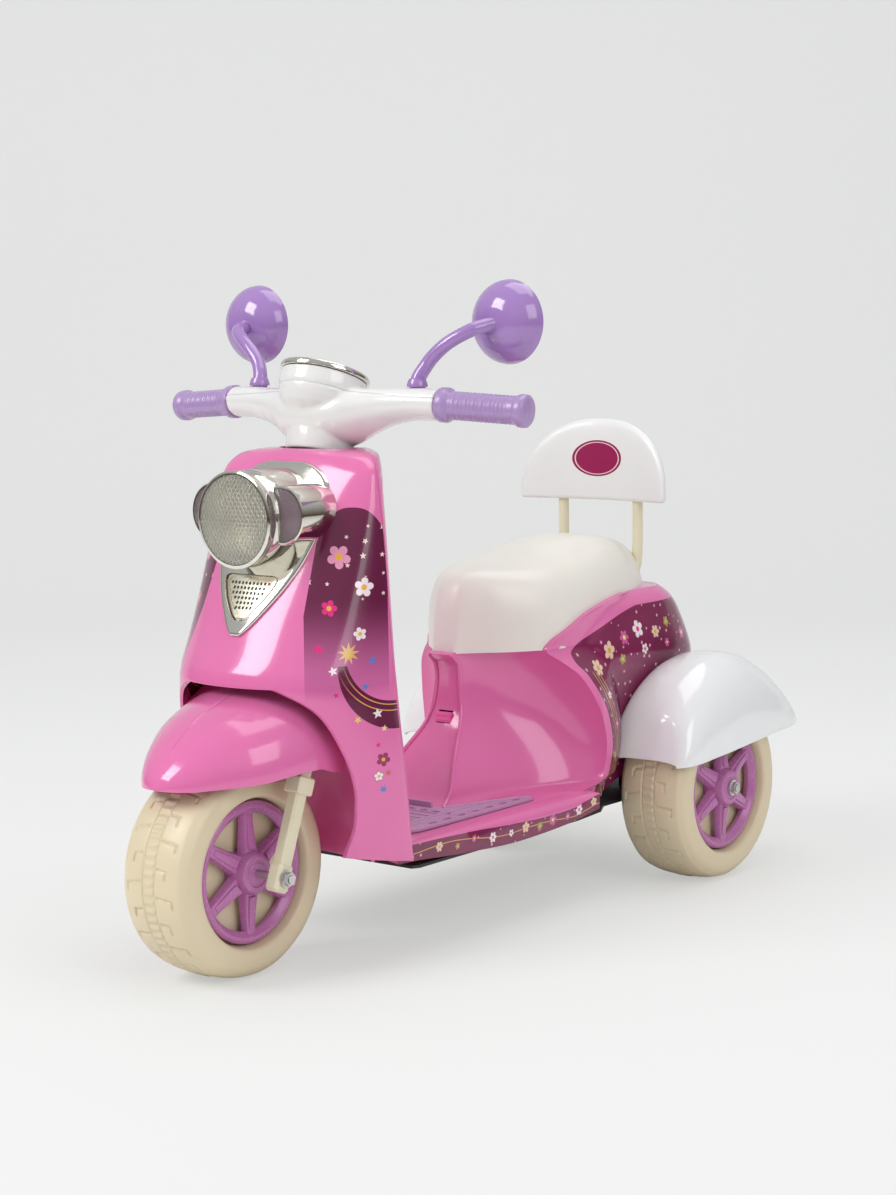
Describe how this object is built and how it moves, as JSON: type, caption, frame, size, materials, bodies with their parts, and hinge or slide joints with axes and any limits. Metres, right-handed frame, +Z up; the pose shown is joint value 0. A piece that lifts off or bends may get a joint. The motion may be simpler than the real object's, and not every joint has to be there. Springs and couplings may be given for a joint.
{
  "type": "ride-on electric motorcycle",
  "caption": "Child's battery ride-on motorcycle with one steered front wheel, rear wheels under fenders, step-through floor, saddle, backrest, headlamp and mirrors.",
  "frame": {"origin": "middle of the toy's box, on the floor between the wheels", "axes": "+Y runs from the nose to the tail, +X to the rider's left, +Z up"},
  "size_m": [0.4454, 0.848, 0.6399],
  "materials": {
    "pink_gloss": "glossy moulded plastic",
    "pink_satin": "satin moulded plastic",
    "ivory_plastic": "satin",
    "lavender_plastic": "semi-gloss",
    "lavender_mat": "satin",
    "mauve_plastic": "semi-gloss",
    "white_gloss": "glossy",
    "white_satin": "satin",
    "ivory_tube": "painted steel tube",
    "zinc_steel": "zinc plated",
    "chrome_plastic": "bright plated plastic",
    "chrome_metal": "bright",
    "clear_lens": "clear with a prism pattern",
    "pink_lens": "speckled lens",
    "red_lens": "dark red lens",
    "black_plastic": "black"
  },
  "bodies": {
    "frame": {"main_body": "pink_gloss", "front_shield": "pink_gloss", "wheel_well_panel": "pink_satin", "leg_panel": "pink_gloss", "under_pan": "pink_satin", "floor_mat": "lavender_mat", "seat": "white_satin", "backrest": "white_satin", "backrest_post_left": "ivory_tube", "backrest_post_right": "ivory_tube", "rear_fender_left": "white_gloss", "rear_fender_right": "white_gloss", "tail_lens_left": "red_lens", "tail_lens_right": "red_lens", "headlight_bezel": "chrome_plastic", "headlight_lens": "clear_lens", "indicator_lens_left": "pink_lens", "indicator_lens_right": "pink_lens", "speaker_grille": "chrome_plastic", "speaker": "black_plastic", "steering_bush_upper": "black_plastic", "steering_bush_lower": "black_plastic", "battery": "black_plastic", "rear_axle": "zinc_steel", "rear_axle_nut_left": "chrome_metal", "rear_axle_nut_right": "chrome_metal", "motor": "zinc_steel", "gearbox_housing": "black_plastic"},
    "steering": {"steering_column": "zinc_steel", "fork_crown": "ivory_plastic", "fork_leg_left": "ivory_plastic", "fork_leg_right": "ivory_plastic", "front_fender": "pink_gloss", "front_axle": "zinc_steel", "axle_nut_left": "chrome_metal", "axle_nut_right": "chrome_metal", "handlebar_upper": "white_gloss", "handlebar_lower": "white_gloss", "gauge_face": "white_satin", "gauge_ring": "chrome_plastic", "grip_left": "lavender_plastic", "grip_right": "lavender_plastic"},
    "front_wheel_unit": {"front_wheel": "ivory_plastic", "front_wheel_cap_left": "mauve_plastic", "front_wheel_cap_right": "mauve_plastic"},
    "rear_left_wheel_unit": {"rear_wheel_left": "ivory_plastic", "rear_wheel_cap_left": "mauve_plastic"},
    "rear_right_wheel_unit": {"rear_wheel_right": "ivory_plastic", "rear_wheel_cap_right": "mauve_plastic", "output_gear": "white_satin"},
    "pinion": {"motor_pinion": "zinc_steel"},
    "horn": {"horn_button": "lavender_plastic"},
    "music": {"music_button": "lavender_plastic"},
    "left_mirror_arm": {"mirror_arm_left": "lavender_plastic"},
    "right_mirror_arm": {"mirror_arm_right": "lavender_plastic"},
    "left_mirror_head": {"mirror_head_left": "lavender_plastic"},
    "right_mirror_head": {"mirror_head_right": "lavender_plastic"},
    "pedal": {"accelerator_pedal": "black_plastic"},
    "switch": {"direction_switch": "black_plastic"}
  },
  "joints": [
    {"name": "steering_turn", "type": "hinge", "parent": "frame", "child": "steering", "pos_m": [0, -0.324, 0.1], "axis": [0, 0.3502, 0.9367], "range_deg": [-35, 35]},
    {"name": "front_wheel_spin", "type": "hinge", "parent": "steering", "child": "front_wheel_unit", "pos_m": [0, -0.324, 0.1], "axis": [1, 0, 0], "continuous": true},
    {"name": "rear_left_spin", "type": "hinge", "parent": "frame", "child": "rear_left_wheel_unit", "pos_m": [0.144, 0.266, 0.1], "axis": [1, 0, 0], "continuous": true},
    {"name": "rear_right_spin", "type": "hinge", "parent": "frame", "child": "rear_right_wheel_unit", "pos_m": [-0.144, 0.266, 0.1], "axis": [1, 0, 0], "continuous": true},
    {"name": "pinion_spin", "type": "hinge", "parent": "frame", "child": "pinion", "pos_m": [-0.089, 0.23598, 0.11987], "axis": [1, 0, 0], "continuous": true},
    {"name": "horn_press", "type": "slide", "parent": "steering", "child": "horn", "axis": [0, -0.9367, 0.3502], "range_m": [0, 0.002], "stiffness_N_per_m": 400, "springref_m": -0.001},
    {"name": "music_press", "type": "slide", "parent": "steering", "child": "music", "axis": [0, -0.9367, 0.3502], "range_m": [0, 0.002], "stiffness_N_per_m": 400, "springref_m": -0.001},
    {"name": "left_mirror_swivel", "type": "hinge", "parent": "steering", "child": "left_mirror_arm", "pos_m": [0.1005, -0.154, 0.542], "axis": [0, 0, 1], "range_deg": [-20, 20]},
    {"name": "right_mirror_swivel", "type": "hinge", "parent": "steering", "child": "right_mirror_arm", "pos_m": [-0.1005, -0.154, 0.542], "axis": [0, 0, 1], "range_deg": [-20, 20]},
    {"name": "left_mirror_tilt", "type": "hinge", "parent": "left_mirror_arm", "child": "left_mirror_head", "pos_m": [0.158, -0.112, 0.599], "axis": [1, 0, 0], "range_deg": [-10, 10]},
    {"name": "right_mirror_tilt", "type": "hinge", "parent": "right_mirror_arm", "child": "right_mirror_head", "pos_m": [-0.158, -0.112, 0.599], "axis": [1, 0, 0], "range_deg": [-10, 10]},
    {"name": "pedal_press", "type": "hinge", "parent": "frame", "child": "pedal", "pos_m": [-0.055, -0.086, 0.11905], "axis": [1, 0, 0], "range_deg": [0, 8], "stiffness_Nm_per_rad": 0.4, "springref_deg": -8.59},
    {"name": "direction_rock", "type": "hinge", "parent": "frame", "child": "switch", "pos_m": [0, 0.00817, 0.196], "axis": [1, 0, 0], "range_deg": [-10, 10]}
  ],
  "couplings": [
    {"joint": "pinion_spin", "follows": "rear_right_spin", "ratio": -3}
  ]
}
